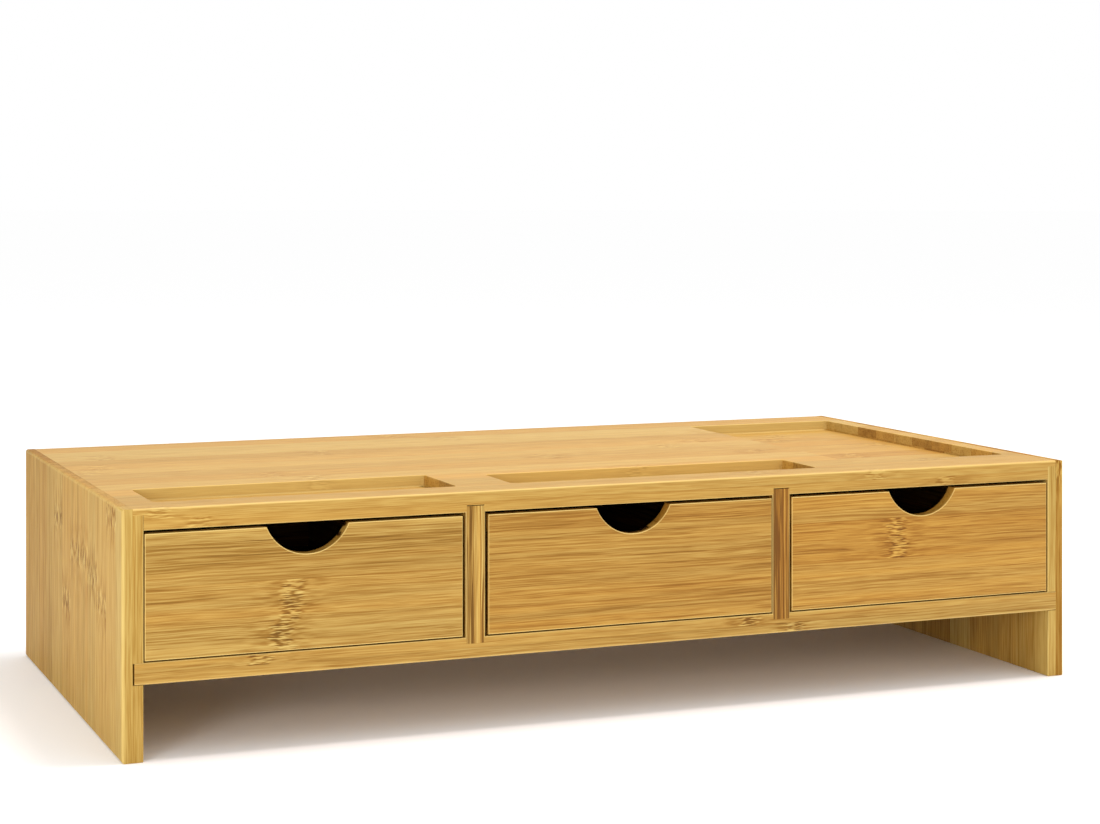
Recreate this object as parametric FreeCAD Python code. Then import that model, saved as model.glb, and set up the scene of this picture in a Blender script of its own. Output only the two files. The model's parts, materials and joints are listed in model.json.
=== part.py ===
"""Bamboo monitor stand with three finger-notch drawers, as separate glued and sliding boards.

Millimetres. The origin is at the middle of the footprint, on the surface that the stand rests on.
+X is to the user's right, +Y to the back, +Z up. Every board is one solid in one file.
"""
import FreeCAD, Part
import os

Vector = FreeCAD.Vector

# Overall size
WIDTH = 510.0
DEPTH = 250.0
HEIGHT = 115.0

# Boards of the case
BOARD = 10.0                # top, sides, shelf and dividers
LEG_CLEARANCE = 35.0        # free height under the shelf, for a keyboard
HOUSING = 5.0               # how far the shelf and the top reach into the sides
LAP = 3.0                   # thickness of the lip by which the top laps over each side
SHELF_SHORT = 0.8           # play that shows as a dark line at the left end of the shelf
DIVIDER_HOUSING = 3.0       # how far a divider's ends sit in the shelf and in the top
DIVIDER_SHORT = 0.4         # play over a divider, in its groove in the top
BACK_BOARD = 5.0
BACK_GROOVE = 4.0           # depth of the groove that holds the back board all round
BACK_INSET = 8.0            # from the rear edges to the back board

# Recesses in the top: left and right end from the left edge, near and far end from the front edge
PEN_TRAY = (19.0, 170.0, 20.0, 66.0)
PHONE_SLOT = (199.0, 371.0, 20.0, 57.0)
NOTE_TRAY = (400.0, 496.0, 34.0, 223.0)
RECESS_DEPTH = 6.0
RECESS_CORNER = 3.0

# Drawers
SIDE_GAP = 1.0              # running clearance at each side of a drawer
TOP_GAP = 1.6               # over a drawer front
UNDER_GAP = 0.7             # under a drawer front
RUN_GAP = 0.3               # under the drawer's sides, which run just over the shelf
STOP_GAP = 0.5              # from a closed drawer to the back board, which stops it
DRAWER_BOARD = 6.0          # front, sides and back of a drawer
DRAWER_LAP = 3.0            # how deep the drawer's boards are let into each other
BOX_DROP = 6.0              # how much lower the sides and back are than the front
BOTTOM_BOARD = 4.0
BOTTOM_RISE = 5.0           # from a drawer's lower edge to its bottom board
NOTCH_RADIUS = 21.5
NOTCH_DEPTH = 13.35

# Eased edges
CASE_ROUND = 1.5            # outer edges of the case, which hands touch
FRONT_ROUND = 1.0           # front and rear edges of the top and the shelf
FINE_ROUND = 0.5            # rims, dividers and drawer boards

# Places worked out from the sizes above
RIGHT, LEFT = WIDTH / 2, -WIDTH / 2
FRONT, REAR = -DEPTH / 2, DEPTH / 2
INNER_RIGHT, INNER_LEFT = RIGHT - BOARD, LEFT + BOARD
HOUSED_RIGHT, HOUSED_LEFT = INNER_RIGHT + HOUSING, INNER_LEFT - HOUSING
SHELF_LOW, SHELF_TOP = LEG_CLEARANCE, LEG_CLEARANCE + BOARD
TOP_LOW = HEIGHT - BOARD
BACK_FAR = REAR - BACK_INSET
BACK_NEAR = BACK_FAR - BACK_BOARD
BAY_WIDTH = (WIDTH - 4 * BOARD) / 3
BAY_PITCH = BAY_WIDTH + BOARD
RECESS_FLOOR = HEIGHT - RECESS_DEPTH

# Each drawer sits a little off the middle of its bay
DRAWERS = {"left": -BAY_PITCH - 0.5, "middle": 0.6, "right": BAY_PITCH + 0.1}
DIVIDERS = {"left": -BAY_PITCH / 2, "right": BAY_PITCH / 2}


def board(x_span, y_span, z_span):
    """A square-cut board that fills the given spans."""
    (x0, x1), (y0, y1), (z0, z1) = x_span, y_span, z_span
    return Part.makeBox(x1 - x0, y1 - y0, z1 - z0, Vector(x0, y0, z0))


def lies_on(edge, **planes):
    """True for an edge that lies in every given plane, such as Y=FRONT, Z=HEIGHT."""
    box = edge.BoundBox
    return all(
        abs(getattr(box, axis + end) - place) < 0.01
        for axis, place in planes.items()
        for end in ("Min", "Max")
    )


def ease(shape, radius, *places):
    """Rounds the edges that lie in any of the given sets of planes."""
    edges = [edge for edge in shape.Edges if any(lies_on(edge, **planes) for planes in places)]
    return shape.makeFillet(radius, edges)


def recess(span):
    """The block that a router takes out of the top, with the cutter's radius in its corners."""
    left, right, near, far = span
    block = board((LEFT + left, LEFT + right), (FRONT + near, FRONT + far), (RECESS_FLOOR, HEIGHT + 1.0))
    upright = [edge for edge in block.Edges if abs(edge.tangentAt(edge.FirstParameter).z) > 0.99]
    return block.makeFillet(RECESS_CORNER, upright)


def on_rim(edge, span):
    """True for a top edge that belongs to the recess over the given span."""
    left, right, near, far = span
    box = edge.BoundBox
    return (
        lies_on(edge, Z=HEIGHT)
        and box.XMin > LEFT + left - 0.01 and box.XMax < LEFT + right + 0.01
        and box.YMin > FRONT + near - 0.01 and box.YMax < FRONT + far + 0.01
    )


def top_panel(dividers, back):
    """The top: three routed recesses, grooves for the dividers and the back, and a lip over each side."""
    shape = board((INNER_LEFT, INNER_RIGHT), (FRONT, REAR), (TOP_LOW, HEIGHT))
    lip = board((HOUSED_LEFT, HOUSED_RIGHT), (FRONT, REAR), (HEIGHT - LAP, HEIGHT))
    shape = shape.fuse(lip).removeSplitter()
    shape = ease(shape, FRONT_ROUND, dict(Y=FRONT, Z=HEIGHT), dict(Y=REAR, Z=HEIGHT))
    shape = ease(shape, FINE_ROUND, dict(Y=FRONT, Z=TOP_LOW), dict(Y=REAR, Z=TOP_LOW))
    spans = (PEN_TRAY, PHONE_SLOT, NOTE_TRAY)
    for span in spans:
        shape = shape.cut(recess(span))
    rims = [edge for edge in shape.Edges if any(on_rim(edge, span) for span in spans)]
    shape = shape.makeFillet(FINE_ROUND, rims)
    for piece in dividers:
        shape = shape.cut(piece.translated(Vector(0, 0, DIVIDER_SHORT)))
    return shape.cut(back)


def side_panel(back):
    """The right side: a leg and end in one board, housed for the shelf, rebated for the top's lip."""
    shape = board((INNER_RIGHT, RIGHT), (FRONT, REAR), (0.0, HEIGHT))
    shape = ease(
        shape, CASE_ROUND,
        dict(X=RIGHT, Y=FRONT), dict(X=RIGHT, Y=REAR), dict(X=RIGHT, Z=HEIGHT), dict(X=RIGHT, Z=0.0),
    )
    shape = ease(
        shape, FINE_ROUND,
        dict(X=INNER_RIGHT, Y=FRONT), dict(X=INNER_RIGHT, Y=REAR), dict(X=INNER_RIGHT, Z=0.0),
    )
    rebate = board((INNER_RIGHT, HOUSED_RIGHT), (FRONT, REAR), (HEIGHT - LAP, HEIGHT))
    housing = board((INNER_RIGHT, HOUSED_RIGHT), (FRONT, REAR), (SHELF_LOW, SHELF_TOP))
    return shape.cut(rebate).cut(housing).cut(back)


def shelf_panel(dividers, back):
    """The shelf that carries the drawers and ties the two sides."""
    shape = board((HOUSED_LEFT + SHELF_SHORT, HOUSED_RIGHT), (FRONT, REAR), (SHELF_LOW, SHELF_TOP))
    shape = ease(shape, FRONT_ROUND, dict(Y=FRONT, Z=SHELF_LOW), dict(Y=REAR, Z=SHELF_LOW))
    shape = ease(shape, FINE_ROUND, dict(Y=FRONT, Z=SHELF_TOP), dict(Y=REAR, Z=SHELF_TOP))
    for piece in (*dividers, back):
        shape = shape.cut(piece)
    return shape


def divider(x):
    """An upright between two drawers, from the front edge to the back board."""
    shape = board(
        (x - BOARD / 2, x + BOARD / 2), (FRONT, BACK_NEAR),
        (SHELF_TOP - DIVIDER_HOUSING, TOP_LOW + DIVIDER_HOUSING),
    )
    return ease(shape, FINE_ROUND, dict(X=x - BOARD / 2, Y=FRONT), dict(X=x + BOARD / 2, Y=FRONT))


def back_panel():
    """The thin board that closes the drawer bays and stops the drawers."""
    return board(
        (INNER_LEFT - BACK_GROOVE, INNER_RIGHT + BACK_GROOVE), (BACK_NEAR, BACK_FAR),
        (SHELF_TOP - BACK_GROOVE, TOP_LOW + BACK_GROOVE),
    )


def finger_notch(x, top):
    """The cutter for the half-moon in the middle of a drawer front's upper edge."""
    centre = Vector(x, FRONT - 1.0, top + NOTCH_RADIUS - NOTCH_DEPTH)
    return Part.makeCylinder(NOTCH_RADIUS, DRAWER_BOARD + 2.0, centre, Vector(0, 1, 0))


def drawer(name, x):
    """The five boards of the drawer that is centred on x, by node name."""
    half = BAY_WIDTH / 2 - SIDE_GAP
    low, top = SHELF_TOP + RUN_GAP, TOP_LOW - TOP_GAP
    box_top = top - BOX_DROP
    near, far = FRONT + DRAWER_BOARD, BACK_NEAR - STOP_GAP
    floor = low + BOTTOM_RISE

    bottom = board(
        (x - half + DRAWER_LAP, x + half - DRAWER_LAP),
        (near - DRAWER_LAP, far - DRAWER_BOARD + DRAWER_LAP),
        (floor, floor + BOTTOM_BOARD),
    )
    back = board(
        (x - half + DRAWER_LAP, x + half - DRAWER_LAP), (far - DRAWER_BOARD, far), (low, box_top),
    )
    back = ease(back, FINE_ROUND, dict(Y=far - DRAWER_BOARD, Z=box_top), dict(Y=far, Z=box_top))

    sides = {}
    for hand, outer, inner in (("left", x - half, x - half + DRAWER_BOARD),
                               ("right", x + half, x + half - DRAWER_BOARD)):
        side = board(sorted_span(outer, inner), (near - DRAWER_LAP, far), (low, box_top))
        side = ease(
            side, FINE_ROUND, dict(X=outer, Z=box_top), dict(X=inner, Z=box_top), dict(X=outer, Z=low),
        )
        sides[hand] = side

    front = board((x - half, x + half), (FRONT, near), (SHELF_TOP + UNDER_GAP, top))
    front = front.cut(finger_notch(x, top))
    front = front.makeFillet(FINE_ROUND, [edge for edge in front.Edges if lies_on(edge, Y=FRONT)])
    for side in sides.values():
        front = front.cut(side)
    front = front.cut(bottom)

    return {
        f"{name}_drawer_front": front,
        f"{name}_drawer_left_side": sides["left"].cut(back).cut(bottom),
        f"{name}_drawer_right_side": sides["right"].cut(back).cut(bottom),
        f"{name}_drawer_back": back.cut(bottom),
        f"{name}_drawer_bottom": bottom,
    }


def sorted_span(a, b):
    """The two places as a low and a high end."""
    return (min(a, b), max(a, b))


def case():
    """The fixed boards, by node name."""
    dividers = {f"{name}_divider": divider(x) for name, x in DIVIDERS.items()}
    back = back_panel()
    top = top_panel(dividers.values(), back)
    shelf = shelf_panel(dividers.values(), back)
    right_side = side_panel(back)
    left_side = right_side.mirror(Vector(0, 0, 0), Vector(1, 0, 0))
    return {
        "top_panel": top,
        "left_side_panel": left_side,
        "right_side_panel": right_side,
        "shelf_panel": shelf,
        **dividers,
        "back_panel": back,
    }


def main():
    """Builds every board and writes each to its own STEP file."""
    os.makedirs("parts", exist_ok=True)
    nodes = case()
    for name, x in DRAWERS.items():
        nodes.update(drawer(name, x))
    for name, shape in nodes.items():
        solids = shape.Solids
        if len(solids) != 1 or not shape.isValid():
            raise RuntimeError(f"{name}: {len(solids)} solids, valid {shape.isValid()}")
        solids[0].exportStep(f"parts/{name}.step")
    print(f"{len(nodes)} boards written")


main()
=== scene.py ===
"""Bamboo monitor stand with three drawers: the boards in laminated bamboo, on a pale studio floor.

Metres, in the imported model's frame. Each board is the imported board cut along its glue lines,
so that every bamboo strip has its own colour, grain and nodes.
"""

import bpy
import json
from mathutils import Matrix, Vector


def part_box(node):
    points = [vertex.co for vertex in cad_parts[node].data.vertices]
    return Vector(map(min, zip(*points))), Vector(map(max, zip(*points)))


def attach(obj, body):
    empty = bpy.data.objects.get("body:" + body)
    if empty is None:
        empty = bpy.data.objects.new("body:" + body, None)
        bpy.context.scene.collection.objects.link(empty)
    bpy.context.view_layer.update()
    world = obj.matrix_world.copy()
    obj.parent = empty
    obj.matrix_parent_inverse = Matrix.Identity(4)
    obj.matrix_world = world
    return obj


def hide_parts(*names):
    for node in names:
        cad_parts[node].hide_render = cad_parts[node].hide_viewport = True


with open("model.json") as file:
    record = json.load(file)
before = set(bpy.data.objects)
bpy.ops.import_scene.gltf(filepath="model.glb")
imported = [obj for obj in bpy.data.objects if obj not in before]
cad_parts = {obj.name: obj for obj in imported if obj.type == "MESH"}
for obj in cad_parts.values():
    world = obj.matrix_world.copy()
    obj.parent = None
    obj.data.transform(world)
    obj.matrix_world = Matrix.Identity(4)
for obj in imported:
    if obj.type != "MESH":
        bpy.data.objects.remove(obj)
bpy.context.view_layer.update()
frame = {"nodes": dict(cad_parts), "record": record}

import json
import math

import bmesh
import bpy
import numpy as np
from bpy.props import FloatProperty, FloatVectorProperty, IntProperty, PointerProperty

bl_info = {
    "name": "Bamboo monitor stand",
    "version": (1, 0, 0),
    "blender": (4, 5, 0),
    "location": "3D View > Sidebar > Stand",
    "description": "Dresses the boards of a bamboo monitor stand and sets up its studio",
    "category": "Add Mesh",
}

MM = 0.001
X, Y, Z = 0, 1, 2

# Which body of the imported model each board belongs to
BODY_OF = {
    node: body
    for body, nodes in frame["record"]["behaviour"]["bodies"].items()
    for node in nodes
}

# How a packed board is made into strips
WELD = 0.002 * MM               # corners closer than this are one corner
ON_CUT = 0.001 * MM             # corners closer than this to a cut lie on it
FLAT = math.radians(0.4)        # faces that meet at less than this are one flat face
CREASE = math.radians(40)       # edges sharper than this stay sharp
NARROWEST = 1.5 * MM            # no strip at a board's edge is narrower than this
MOST_STRIPS = 64                # strips drawn for each ply, more than any board has
ARRIS_REACH = 1.7 * MM          # how far a rounded arris reaches into a board
ROUTED_FROM = 3 * MM            # walls farther than this from a board's long edges are routed
ROUTED_PAINTED_LIGHT = 0.75              # painted bounce light: how pale a routed wall is painted, where a rounded arris's painted highlight is 1


def linear(colour):
    """A #RRGGBB sRGB colour as linear RGBA."""
    s = np.array([int(colour[i:i + 2], 16) for i in (1, 3, 5)]) / 255.0
    return (*np.where(s <= 0.04045, s / 12.92, ((s + 0.055) / 1.055) ** 2.4).tolist(), 1.0)


class StandFinish(bpy.types.PropertyGroup):
    """Sizes and colours of the bamboo"""

    strip_width: FloatProperty(
        name="Strip width", description="Width of one bamboo strip in a board's face",
        default=20 * MM, min=5 * MM, max=60 * MM, unit="LENGTH")
    node_spacing: FloatProperty(
        name="Node spacing", description="Usual distance between two nodes along a strip",
        default=320 * MM, min=80 * MM, max=600 * MM, unit="LENGTH")
    lot: IntProperty(
        name="Lot", description="Number from which the strips' tones and nodes are drawn",
        default=7, min=0)
    fibre: FloatVectorProperty(
        name="Fibre", description="Dark vascular fibres and node scars",
        default=linear("#6E480D"), size=4, min=0.0, max=1.0, subtype="COLOR")
    shade: FloatVectorProperty(
        name="Shade", description="Brown streaks and end grain",
        default=linear("#936825"), size=4, min=0.0, max=1.0, subtype="COLOR")
    body: FloatVectorProperty(
        name="Body", description="The wood's middle tone",
        default=linear("#B08A48"), size=4, min=0.0, max=1.0, subtype="COLOR")
    pith: FloatVectorProperty(
        name="Pith", description="Pale wood from the inside of the culm",
        default=linear("#CAAC6A"), size=4, min=0.0, max=1.0, subtype="COLOR")
    # Painted highlight: this pale colour is painted on rounded arrises, and as painted bounce light
    # on routed walls
    painted_highlight: FloatVectorProperty(
        name="Rubbed", description="Arrises and routed walls, rubbed pale by the last sanding",
        default=linear("#EACF82"), size=4, min=0.0, max=1.0, subtype="COLOR")


class StandStudio(bpy.types.PropertyGroup):
    """Floor, light and camera"""

    floor_colour: FloatVectorProperty(
        name="Floor", description="Colour of the pale floor",
        default=linear("#FEFEFE"), size=4, min=0.0, max=1.0, subtype="COLOR")
    room_light: FloatProperty(
        name="Room light", description="Strength of the even white light all round",
        default=1.0, min=0.0)
    key_light: FloatProperty(
        name="Key light", description="Power of the soft light overhead",
        default=13.5, min=0.0, unit="POWER")
    key_colour: FloatVectorProperty(
        name="Key colour", description="Slightly warm white of the light overhead",
        default=linear("#FFF0EA"), size=4, min=0.0, max=1.0, subtype="COLOR")
    side_light: FloatProperty(
        name="Side light", description="Power of the soft light in front, at the left",
        default=4.2, min=0.0, unit="POWER")
    focal_length: FloatProperty(
        name="Focal length", description="Focal length on a 36 mm wide sensor",
        default=71.7 * MM, min=10 * MM, unit="CAMERA")


def add(tree, kind, inputs=None, out=0, **settings):
    """Adds a shader node, sets its settings, and sets or links its inputs by name or number.

    A Mix node's numbers are inputs 2 and 3. Its colours are inputs 6 and 7, and output 2.
    """
    node = tree.nodes.new("ShaderNode" + kind)
    for name, value in settings.items():
        setattr(node, name, value)
    for key, value in (inputs or {}).items():
        if isinstance(value, bpy.types.NodeSocket):
            tree.links.new(value, node.inputs[key])
        else:
            node.inputs[key].default_value = value
    return [node.outputs[o] for o in out] if isinstance(out, tuple) else node.outputs[out]


# Patterns along the fibre: name, length and width of a mark in mm
MARKS = (
    ("band", 300.0, 6.0),       # broad lighter and darker bands within a strip
    ("bundle", 150.0, 1.1),     # bundles of dark fibre
    ("line", 75.0, 0.75),       # thin dark lines between them
    ("fibre", 18.0, 0.5),       # single fibres, drawn a little coarser than the real 0.3 mm
    ("smudge", 10.0, 1.1),      # short dashes on either side of a node
    ("torn", 5.5, 0.5),         # torn ends of fibre in the node itself
)
SWAY = (14.0, 60.0, 60.0)       # how often a metre the fibres sway, along them and across
SWAY_REACH = 2.5 * MM           # and how far, from one side to the other
VESSELS = (0.0, 950.0, 950.0)   # dark vessels in a metre of end grain, none along the fibre


def node_scars(tree, grain, knot, strength):
    """Where a strip's nodes are: the ragged scar across it, and the soft halo along it.

    The distance to the nearest node is the place along the fibre, wrapped at half the spacing on
    either side. For the scar, two noises across the strip move that place to and fro.
    """
    along, half = add(tree, "SeparateXYZ", {0: knot}, out=(0, 1))
    less = add(tree, "Math", {0: half, 1: -1.0}, operation="MULTIPLY")
    near = add(tree, "Math", {0: along, 1: half, 2: less}, operation="WRAP")
    ragged = near
    for pitch, reach in ((7 * MM, 5 * MM), (1.3 * MM, 9 * MM)):
        rows = (0.0, 1 / pitch, 1 / pitch)
        rows = add(tree, "VectorMath", {0: grain, 1: rows}, operation="MULTIPLY")
        rows = add(tree, "TexNoise", {"Vector": rows, "Scale": 1.0, "Detail": 0.0})
        shift = add(tree, "Math", {0: rows, 1: reach, 2: -reach / 2}, operation="MULTIPLY_ADD")
        ragged = add(tree, "Math", {0: ragged, 1: shift}, operation="ADD")
    masks = []
    for distance, outside, inside in ((ragged, 6.5 * MM, 3.5 * MM), (near, 28 * MM, 4 * MM)):
        distance = add(tree, "Math", {0: distance}, operation="ABSOLUTE")
        masks.append(add(
            tree, "MapRange", {0: distance, 1: outside, 2: inside, 3: 0.0, 4: strength},
            interpolation_type="SMOOTHSTEP"))
    return masks


def fibre_marks(tree, grain, coarse):
    """The patterns of MARKS: noise stretched along the fibre, which sways a little.

    A node's torn ends don't sway.
    """
    sway = add(tree, "VectorMath", {0: grain, 1: SWAY}, operation="MULTIPLY")
    sway = add(tree, "TexNoise", {"Vector": sway, "Scale": 1.0, "Detail": 1.0}, out="Color")
    sway = add(tree, "VectorMath", {0: sway, 1: (0.5, 0.5, 0.5)}, operation="SUBTRACT")
    sway = add(tree, "VectorMath", {0: sway, "Scale": SWAY_REACH}, operation="SCALE")
    fibres = add(tree, "VectorMath", {0: grain, 1: sway}, operation="ADD")
    mark = {}
    for kind, length, width in MARKS:
        scale = (1 / (length * MM), 1 / (width * coarse * MM), 1 / (width * coarse * MM))
        source = grain if kind == "torn" else fibres
        scaled = add(tree, "VectorMath", {0: source, 1: scale}, operation="MULTIPLY")
        mark[kind] = add(tree, "TexNoise", {"Vector": scaled, "Scale": 1.0, "Detail": 1.0})
    return mark


def bamboo(name, finish, streak, bands, strips=0.2, light=0.0, coarse=1.0, knots=1.0, painted_highlight_strength=0.5,
           gloss=0.4, shine=0.22):
    """Laminated bamboo, planed, sanded and sprayed with clear satin lacquer.

    To the eye: straight strips of slightly different tan, with fine dark fibres along them, a torn
    brown node across a strip every hand's width or two, dotted end grain, a painted highlight on
    the arrises and painted bounce light on routed walls, and a soft low sheen.

    Streak, bands and strips say how far the fine lines, the broad bands and whole strips part in
    tone, and light lifts all of it. Coarse widens the marks. Knots say how strongly the nodes show,
    and the highlight strength how strongly the painted highlight shows on the arrises and the
    painted bounce light on routed walls. Gloss is the pale wood's roughness, shine its reflection.
    """
    material = bpy.data.materials.new(name)
    material.use_nodes = True
    tree = material.node_tree
    tree.nodes.clear()
    grain, strip, place, knot = [
        add(tree, "Attribute", out="Vector", attribute_name=attribute)
        for attribute in ("grain", "strip", "place", "knot")]
    tone, hue, arris = add(tree, "SeparateXYZ", {0: strip}, out=(0, 1, 2))
    lane, layer, end = add(tree, "SeparateXYZ", {0: place}, out=(0, 1, 2))
    lane = add(tree, "Math", {0: lane}, operation="ABSOLUTE")
    scar, halo = node_scars(tree, grain, knot, knots)
    mark = fibre_marks(tree, grain, coarse)

    # Vessels in end grain: round cells
    dots = add(tree, "VectorMath", {0: grain, 1: VESSELS}, operation="MULTIPLY")
    dots = add(tree, "TexVoronoi", {"Vector": dots, "Scale": 1.0}, out="Distance")

    # Lines are fewer near a node, and more in a dark strip or band
    calm = add(tree, "Math", {0: halo, 1: -0.7, 2: 1.0}, operation="MULTIPLY_ADD")
    dense = add(tree, "MapRange", {0: tone, 1: 0.0, 2: 1.0, 3: 1.2, 4: 0.8})
    flock = add(tree, "MapRange", {0: mark["band"], 1: 0.35, 2: 0.65, 3: 1.1, 4: 0.8})
    streaky = add(tree, "Math", {0: calm, 1: dense}, operation="MULTIPLY")
    streaky = add(tree, "Math", {0: streaky, 1: flock}, operation="MULTIPLY")

    # Each pattern's part in the tone: source, from, to, part at from, part at to, weight
    face = (
        (mark["band"], 0.3, 0.7, -bands, bands, 1.0),
        (mark["bundle"], 0.565, 0.625, 0.0, -streak, streaky),
        (mark["bundle"], 0.37, 0.45, 0.5 * streak, 0.0, calm),
        (mark["line"], 0.55, 0.61, 0.0, -1.1 * streak, streaky),
        (mark["line"], 0.38, 0.46, 0.4 * streak, 0.0, calm),
        (mark["fibre"], 0.38, 0.62, 0.09, -0.09, 1.0),
        (mark["smudge"], 0.5, 0.64, 0.0, -0.26, halo),
        (mark["smudge"], 0.34, 0.46, 0.2, 0.0, halo),
        (mark["torn"], 0.5, 0.58, 0.0, -0.42, scar),
        (mark["torn"], 0.42, 0.5, 0.42, 0.0, scar),
        (halo, 0.4, 1.0, 0.0, -0.07, 1.0),
        (tone, 0.0, 1.0, -strips, strips, 1.0),
        (lane, 0.95, 1.0, 0.0, -0.14, 1.0),
        (layer, 0.86, 1.0, 0.0, -0.13, 1.0),
    )
    sawn = (
        (dots, 0.2, 0.4, -0.24, 0.06, 1.0),
        (mark["band"], 0.3, 0.7, -0.1, 0.1, 1.0),
        (tone, 0.0, 1.0, -0.2, 0.2, 1.0),
        (lane, 0.95, 1.0, 0.0, -0.2, 1.0),
    )
    # From a middle tone, which is darker in end grain, every part is added
    levels = []
    for level, parts in ((0.6 + light, face), (0.43 + light / 2, sawn)):
        for source, low, high, start, stop, weight in parts:
            part = add(tree, "MapRange", {0: source, 1: low, 2: high, 3: start, 4: stop})
            level = add(tree, "Math", {0: part, 1: weight, 2: level}, operation="MULTIPLY_ADD")
        levels.append(level)
    level = add(tree, "Mix", {0: end, 2: levels[0], 3: levels[1]}, data_type="FLOAT")

    # The tone picks the colour, dark to pale, and the strip's hue tints it from cool to warm
    wood = add(tree, "ValToRGB", {0: level})
    ramp = wood.node.color_ramp.elements
    stops = ((0.0, finish.fibre), (0.3, finish.shade), (0.6, finish.body), (1.0, finish.pith))
    while len(ramp) < len(stops):
        ramp.new(1.0)
    for element, (at, colour) in zip(ramp, stops):
        element.position = at
        element.color = colour
    drift = add(tree, "MapRange", {0: mark["band"], 1: 0.3, 2: 0.7, 3: -4 * bands, 4: 4 * bands})
    hue = add(tree, "Math", {0: hue, 1: drift}, operation="ADD", use_clamp=True)
    warm = add(tree, "Mix", {0: hue, 6: linear("#FAFFF0"), 7: linear("#FFEEB6")},
               out=2, data_type="RGBA")
    colour = add(tree, "Mix", {0: 1.0, 6: wood, 7: warm}, out=2, data_type="RGBA",
                 blend_type="MULTIPLY")

    # Painted highlight on rounded arrises and painted bounce light on routed walls: the face is
    # painted pale, much less so across the fibre's ends
    painted_highlight_share = add(tree, "Math", {0: end, 1: -0.8 * painted_highlight_strength, 2: painted_highlight_strength}, operation="MULTIPLY_ADD")
    painted_highlight_mask = add(tree, "Math", {0: arris, 1: painted_highlight_share}, operation="MULTIPLY")
    colour = add(tree, "Mix", {0: painted_highlight_mask, 6: colour, 7: finish.painted_highlight}, out=2, data_type="RGBA")

    # Dark fibre is a little rougher and lies a little lower
    roughness = add(tree, "MapRange", {0: level, 1: 0.1, 2: 0.9, 3: gloss + 0.12, 4: gloss})
    bump = add(tree, "Bump", {"Height": level, "Strength": 0.4, "Distance": 0.12 * MM})
    shader = add(tree, "BsdfPrincipled", {
        "Base Color": colour, "Roughness": roughness, "IOR": 1.5, "Specular IOR Level": shine,
        "Normal": bump,
    })
    add(tree, "OutputMaterial", {0: shader}, out=())
    return material


def glue_lines(low, high, width, first):
    """Places of the glue lines between low and high, one strip width apart, from first."""
    start = low + first * width
    return np.arange(start, high - NARROWEST, width)


def cut_board(node, name, cuts):
    """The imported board's closed surface as a new mesh, cut by a plane at each axis and place."""
    plan = bmesh.new()
    plan.from_mesh(frame["nodes"][node].data)
    bmesh.ops.remove_doubles(plan, verts=plan.verts, dist=WELD)
    bmesh.ops.dissolve_limit(plan, angle_limit=FLAT, verts=plan.verts, edges=plan.edges)
    for axis, place in cuts:
        point, normal = [0.0] * 3, [0.0] * 3
        point[axis], normal[axis] = float(place), 1.0
        bmesh.ops.bisect_plane(
            plan, geom=plan.verts[:] + plan.edges[:] + plan.faces[:], dist=ON_CUT,
            plane_co=point, plane_no=normal)
    mesh = bpy.data.meshes.new(name)
    plan.to_mesh(mesh)
    plan.free()
    return mesh


def read(items, name, columns=1):
    """A whole number, or a vector, of every vertex, corner or face, as an array."""
    values = np.empty(len(items) * columns, int if columns == 1 else float)
    items.foreach_get(name, values)
    return values if columns == 1 else values.reshape(-1, columns)


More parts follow.
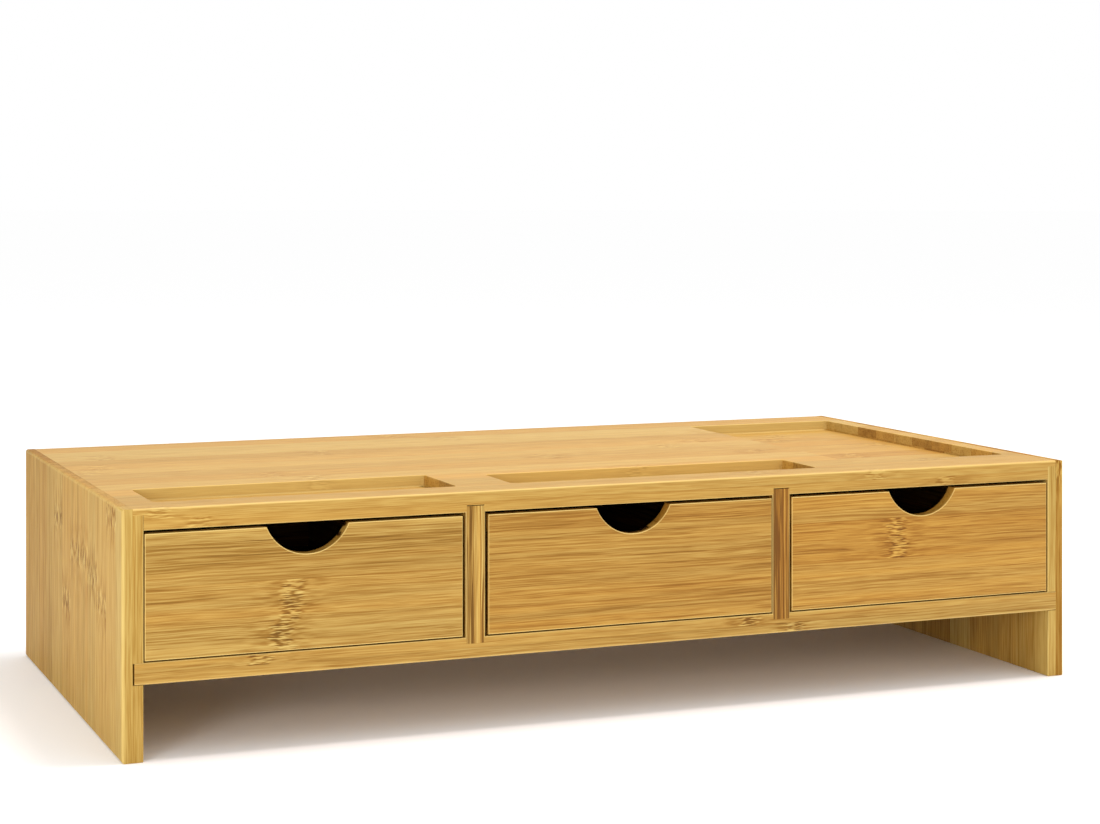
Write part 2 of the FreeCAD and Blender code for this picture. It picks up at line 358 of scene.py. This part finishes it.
def laminate(node, piece, slot, material, along, across, lot, plies=1, width=None,
             first=(0.62, 0.17), warmth=0.4, tones=None, hues=None, knots=None, spacings=None):
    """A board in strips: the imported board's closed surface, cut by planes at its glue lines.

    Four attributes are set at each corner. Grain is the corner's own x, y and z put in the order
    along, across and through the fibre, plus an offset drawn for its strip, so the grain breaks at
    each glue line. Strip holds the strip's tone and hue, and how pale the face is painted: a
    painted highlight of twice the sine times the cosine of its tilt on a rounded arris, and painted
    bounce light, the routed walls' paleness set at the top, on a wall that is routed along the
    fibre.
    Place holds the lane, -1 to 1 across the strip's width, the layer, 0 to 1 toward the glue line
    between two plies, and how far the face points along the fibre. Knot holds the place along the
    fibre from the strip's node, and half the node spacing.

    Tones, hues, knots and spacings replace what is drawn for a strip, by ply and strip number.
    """
    finish = bpy.context.scene.stand_finish
    width = width or finish.strip_width
    through = 3 - along - across
    low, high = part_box(node)
    thickness = (high[through] - low[through]) / plies
    cuts = [(through, low[through] + thickness)] if plies == 2 else []
    lines = [glue_lines(low[across], high[across], width, first[p]) for p in range(plies)]
    cuts += [(across, place) for line in lines for place in line]
    mesh = cut_board(node, piece, cuts)

    spot = read(mesh.vertices, "co", 3)
    centre, normal = read(mesh.polygons, "center", 3), read(mesh.polygons, "normal", 3)
    corner, sides = read(mesh.loops, "vertex_index"), read(mesh.polygons, "loop_total")

    # The ply and the strip that each face belongs to, and where that strip starts
    count = len(mesh.polygons)
    ply = ((plies == 2) & (centre[:, through] > low[through] + thickness)).astype(int)
    index, start = np.zeros(count, int), np.zeros(count)
    for p, line in enumerate(lines):
        edges = np.concatenate([[line[0] - width], line])
        found = np.clip(np.searchsorted(edges, centre[:, across]) - 1, 0, len(edges) - 1)
        index = np.where(ply == p, found, index)
        start = np.where(ply == p, edges[found], start)

    # Drawn for every strip: tone and hue from 0 to 1, the others in metres
    draw = np.random.default_rng(finish.lot * 1000 + lot)
    tone = np.clip(draw.normal(0.5, 0.24, (2, MOST_STRIPS)), 0, 1)
    hue = np.clip(draw.normal(warmth, 0.18, (2, MOST_STRIPS)), 0, 1)
    knot = draw.uniform(0, finish.node_spacing, (2, MOST_STRIPS))
    spacing = finish.node_spacing * draw.uniform(0.8, 1.2, (2, MOST_STRIPS))
    offset = draw.uniform(-8, 8, (2, MOST_STRIPS, 3))
    for table, given in ((tone, tones), (hue, hues), (knot, knots), (spacing, spacings)):
        for key, value in (given or {}).items():
            table[key] = value

    # A rounded arris lies just under a board's face and gets a painted highlight. A routed wall
    # faces across the fibre and gets painted bounce light
    tilt = np.abs(normal[:, through])
    skin = np.minimum(centre[:, through] - low[through], high[through] - centre[:, through])
    depth = np.minimum(centre[:, across] - low[across], high[across] - centre[:, across])
    rounded = 2 * tilt * np.sqrt(np.clip(1 - tilt ** 2, 0, 1))
    routed = (plies == 2) & (depth > ROUTED_FROM) & (np.abs(normal[:, across]) > 0.7)
    arris = np.where(routed, ROUTED_PAINTED_LIGHT, np.where(skin < ARRIS_REACH, rounded, 0))

    face = np.repeat(np.arange(count), sides)
    at = spot[corner]
    own = (ply[face], index[face])
    grain = at[:, [along, across, through]] + offset[own]
    lane = 2 * (at[:, across] - start[face]) / width - 1
    layer = 2 * (at[:, through] - low[through] - ply[face] * thickness) / thickness - 1
    inner = (plies == 2) * np.maximum(layer * (1 - 2 * ply[face]), 0)
    end = np.abs(normal[:, along])[face]
    for name, columns in (
        ("grain", grain.T),
        ("strip", (tone[own], hue[own], arris[face])),
        ("place", (lane, inner, end)),
        ("knot", (at[:, along] - knot[own], spacing[own] / 2, np.zeros_like(end))),
    ):
        attribute = mesh.attributes.new(name, "FLOAT_VECTOR", "CORNER")
        values = np.stack(columns, 1).astype(np.float32)
        attribute.data.foreach_set("vector", values.ravel())

    mesh.shade_smooth()
    mesh.set_sharp_from_angle(angle=CREASE)
    mesh.materials.append(material)
    board = bpy.data.objects.new(piece, mesh)
    bpy.context.scene.collection.objects.link(board)
    weighted = board.modifiers.new("Flat faces", "WEIGHTED_NORMAL")
    weighted.keep_sharp = True
    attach(board, BODY_OF[node])
    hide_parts(node)
    return board


def every_strip(value):
    """The same value for every strip of both plies."""
    return {(ply, i): value for ply in (0, 1) for i in range(MOST_STRIPS)}


def first_ply(values):
    """A value for each strip of the first ply, in order."""
    return {(0, i): value for i, value in enumerate(values)}


class STAND_OT_case(bpy.types.Operator):
    """Dresses the fixed boards: top, two sides, shelf, dividers and back"""

    bl_idname = "stand.case"
    bl_label = "Case"

    def execute(self, context):
        finish = context.scene.stand_finish
        top = bamboo("Bamboo top, satin lacquer", finish, streak=0.06, bands=0.04, strips=0.07,
                     light=0.06, knots=0.6, gloss=0.5)
        side = bamboo("Bamboo sides, satin lacquer", finish, streak=0.1, bands=0.08, strips=0.14,
                      coarse=1.4, knots=0.9, painted_highlight_strength=0.4, gloss=0.55, shine=0.12)
        edge = bamboo("Bamboo case boards, satin lacquer", finish, streak=0.13, bands=0.1,
                      strips=0.3, light=-0.05)
        upright = bamboo("Bamboo dividers, satin lacquer", finish, streak=0.42, bands=0.2,
                         strips=0.42, light=-0.1)
        # Strips 3, 4 and 11 of the upper ply hold the back walls of the recesses, and their pale
        # tones are painted bounce light on those walls
        laminate("top_panel", "top_board", "bamboo_top", top, X, Y, 1, 2, first=(0.6, 0.25),
                 knots={(1, 0): -0.2375, (0, 0): -0.218}, spacings={(1, 0): 0.377, (0, 0): 0.3995},
                 tones={(1, 0): 0.6, (0, 0): 0.45, (1, 3): 0.9, (1, 4): 0.9, (1, 11): 0.9},
                 hues={(1, 0): 0.35, (0, 0): 0.5})

        # A side's strips are shorter than the node spacing: seven of the left side's strips show
        # a node in its outer face, at these heights, and its others have theirs above the top
        heights = (0.25, 0.1094, 0.0655, 0.075, 0.0796, 0.0795, 0.0527, 0.0905)
        tall = every_strip(0.4)
        # The outer ply's tones fall from the front strip to the rear one: painted shade, darker
        # toward the back of the side
        laminate("left_side_panel", "left_side_board", "bamboo_side", side, Z, Y, 2, 2,
                 width=21.5 * MM, first=(0.593, 0.6), warmth=0.2, spacings=tall,
                 knots={**every_strip(0.25), **first_ply(heights)},
                 tones={(1, 0): 0.75, **first_ply([0.95 - 0.07 * i for i in range(13)])},
                 hues={(0, 0): 0.0, (1, 0): 0.1})
        laminate("right_side_panel", "right_side_board", "bamboo_side", side, Z, Y, 3, 2,
                 first=(0.6, 0.2), knots={(1, 0): 0.111, (0, 0): 0.2}, spacings=tall,
                 tones={(0, 0): 1.0, (1, 0): 0.1}, hues={(0, 0): 0.1, (1, 0): 0.5})
        laminate("shelf_panel", "shelf_board", "bamboo_case", edge, X, Y, 4, 2,
                 knots={(1, 0): -0.19, (0, 0): 0.0918}, spacings={(1, 0): 0.2554, (0, 0): 0.36},
                 tones={(1, 0): 0.5, (0, 0): 0.6}, hues={(1, 0): 0.1, (0, 0): 0.3})
        above = {(0, 0): 0.25, (1, 0): 0.25}
        laminate("left_divider", "left_divider_board", "bamboo_case", upright, Z, Y, 5, 2,
                 tones={(0, 0): 0.5, (1, 0): 0.7}, hues={(0, 0): 0.3, (1, 0): 0.5},
                 knots=above, spacings=tall)
        laminate("right_divider", "right_divider_board", "bamboo_case", upright, Z, Y, 6, 2,
                 tones={(0, 0): 0.0, (1, 0): 0.1}, hues={(0, 0): 0.4, (1, 0): 0.5},
                 knots=above, spacings=tall)
        laminate("back_panel", "back_board", "bamboo_case", edge, X, Z, 7,
                 tones=first_ply((0.6, 0.4, 0.7, 0.5, 0.6)))
        return {"FINISHED"}


class STAND_OT_drawers(bpy.types.Operator):
    """Dresses the three drawers: front, two walls, rear wall and floor each"""

    bl_idname = "stand.drawers"
    bl_label = "Drawers"

    def execute(self, context):
        finish = context.scene.stand_finish
        front = bamboo("Bamboo drawer fronts, satin lacquer", finish, streak=0.15, bands=0.07,
                       strips=0.12, light=-0.055, painted_highlight_strength=0.85)
        box = bamboo("Bamboo drawer walls, sanded", finish, streak=0.16, bands=0.1, painted_highlight_strength=0.3,
                     gloss=0.5)
        floor = bamboo("Bamboo drawer floors, sanded", finish, streak=0.14, bands=0.1, gloss=0.55)
        # Nodes are rare in the fronts: past the ends, apart from those given
        past, wide = every_strip(0.4), every_strip(0.7)
        fronts = {
            "left": dict(width=19 * MM, first=(0.737,), warmth=0.15, spacings=wide,
                         knots={**past, (0, 0): -0.1797, (0, 1): -0.175}),
            "middle": dict(first=(0.45,), warmth=0.6, spacings=wide, knots=past,
                           tones=first_ply((0.55, 0.35, 0.45, 0.2, 0.5))),
            "right": dict(width=20.8 * MM, first=(0.115,), warmth=0.85, spacings=wide,
                          knots={**past, (0, 2): 0.1508}),
        }
        for i, (name, given) in enumerate(fronts.items()):
            node = name + "_drawer_"
            laminate(node + "front", node + "face", "bamboo_drawer_front", front, X, Z, 10 + i,
                     **given)
            for hand, lot in (("left", 20), ("right", 30)):
                laminate(node + hand + "_side", node + hand + "_wall", "bamboo_drawer_box", box,
                         Y, Z, lot + i)
            laminate(node + "back", node + "rear_wall", "bamboo_drawer_box", box, X, Z, 40 + i)
            laminate(node + "bottom", node + "floor", "bamboo_drawer_bottom", floor, X, Y, 50 + i)
        return {"FINISHED"}


def floor_mesh():
    """A flat disc, 60 m across and 0.1 mm under the stand.

    Each point is its radius times the cosine and the sine of its turn.
    """
    radii, turns = np.array([0.0, 1.0, 3.0, 9.0, 30.0]), np.linspace(0, 2 * np.pi, 97)[:-1]
    radius, turn = np.meshgrid(radii, turns)
    points = np.stack([radius * np.cos(turn), radius * np.sin(turn), 0 * radius - 0.1 * MM], -1)
    rows, columns = radius.shape
    r, c = np.meshgrid(np.arange(rows), np.arange(columns - 1), indexing="ij")
    r, c = r.ravel(), c.ravel()
    after = (r + 1) % rows
    quads = np.stack([r * columns + c, r * columns + c + 1,
                      after * columns + c + 1, after * columns + c], 1)
    mesh = bpy.data.meshes.new("floor")
    mesh.from_pydata(points.reshape(-1, 3), [], quads.tolist())
    mesh.validate()
    return mesh


class STAND_OT_studio(bpy.types.Operator):
    """Lays the pale floor, and sets the soft light and the camera"""

    bl_idname = "stand.studio"
    bl_label = "Studio"

    def execute(self, context):
        scene = context.scene
        studio = scene.stand_studio

        # Matt white card: no sheen at all, so the floor only takes the shadows
        card = bpy.data.materials.new("Matt white card")
        card.use_nodes = True
        tree = card.node_tree
        tree.nodes.clear()
        shader = add(tree, "BsdfPrincipled", {
            "Base Color": studio.floor_colour, "Roughness": 0.9, "Specular IOR Level": 0.0})
        add(tree, "OutputMaterial", {0: shader}, out=())
        mesh = floor_mesh()
        mesh.materials.append(card)
        floor = bpy.data.objects.new("floor", mesh)
        scene.collection.objects.link(floor)

        scene.world = bpy.data.worlds.new("Studio")
        scene.world.use_nodes = True
        background = scene.world.node_tree.nodes["Background"]
        background.inputs["Color"].default_value = (1.0, 1.0, 1.0, 1.0)
        background.inputs["Strength"].default_value = studio.room_light

        # Each lamp's place, the point it is aimed at, its diameter, power and colour. A lamp shines
        # along its own -Z, so its +Z points back from the aim
        for name, place, aim, size, power, tint in (
            ("key", (0.3, -0.1, 1.4), (0.05, 0.0, 0.05), 0.5, studio.key_light, studio.key_colour),
            ("side", (-0.95, -0.95, 0.3), (-0.2, 0.0, 0.06), 0.4, studio.side_light, (1, 1, 1)),
        ):
            data = bpy.data.lights.new(name, "AREA")
            data.shape = "DISK"
            data.size = size
            data.energy = power
            data.color = tint[:3]
            lamp = bpy.data.objects.new(name, data)
            scene.collection.objects.link(lamp)
            back = np.array(place) - np.array(aim)
            back /= np.linalg.norm(back)
            lamp.location = place
            lamp.rotation_euler = (math.acos(back[2]), 0.0, math.atan2(back[0], -back[1]))
            lamp.visible_camera = False

        # The camera is level, and its place, turn and shift are fitted to the photo's edges
        data = bpy.data.cameras.new("camera")
        data.sensor_width = 36.0
        data.lens = studio.focal_length / MM
        data.shift_x, data.shift_y = 0.0783, -0.2
        camera = bpy.data.objects.new("camera", data)
        camera.location = (-0.4678, -1.1036, 0.2586)
        camera.rotation_euler = (math.radians(90.0), 0.0, math.radians(-21.142))
        scene.collection.objects.link(camera)
        scene.camera = camera
        scene.view_settings.view_transform = "Standard"
        return {"FINISHED"}


class STAND_PT_panel(bpy.types.Panel):
    """Lists the stand's operators"""

    bl_idname = "STAND_PT_panel"
    bl_label = "Monitor stand"
    bl_space_type = "VIEW_3D"
    bl_region_type = "UI"
    bl_category = "Stand"

    def draw(self, context):
        for operator in OPERATORS:
            self.layout.operator(operator.bl_idname)


OPERATORS = (STAND_OT_case, STAND_OT_drawers, STAND_OT_studio)
CLASSES = (StandFinish, StandStudio, *OPERATORS, STAND_PT_panel)


def register():
    """Adds the classes and their settings to Blender."""
    for cls in CLASSES:
        bpy.utils.register_class(cls)
    bpy.types.Scene.stand_finish = PointerProperty(type=StandFinish)
    bpy.types.Scene.stand_studio = PointerProperty(type=StandStudio)


def unregister():
    """Takes them out again."""
    del bpy.types.Scene.stand_studio
    del bpy.types.Scene.stand_finish
    for cls in reversed(CLASSES):
        bpy.utils.unregister_class(cls)


def main():
    register()
    bpy.ops.stand.case()
    bpy.ops.stand.drawers()
    bpy.ops.stand.studio()


if __name__ == "__main__":
    main()
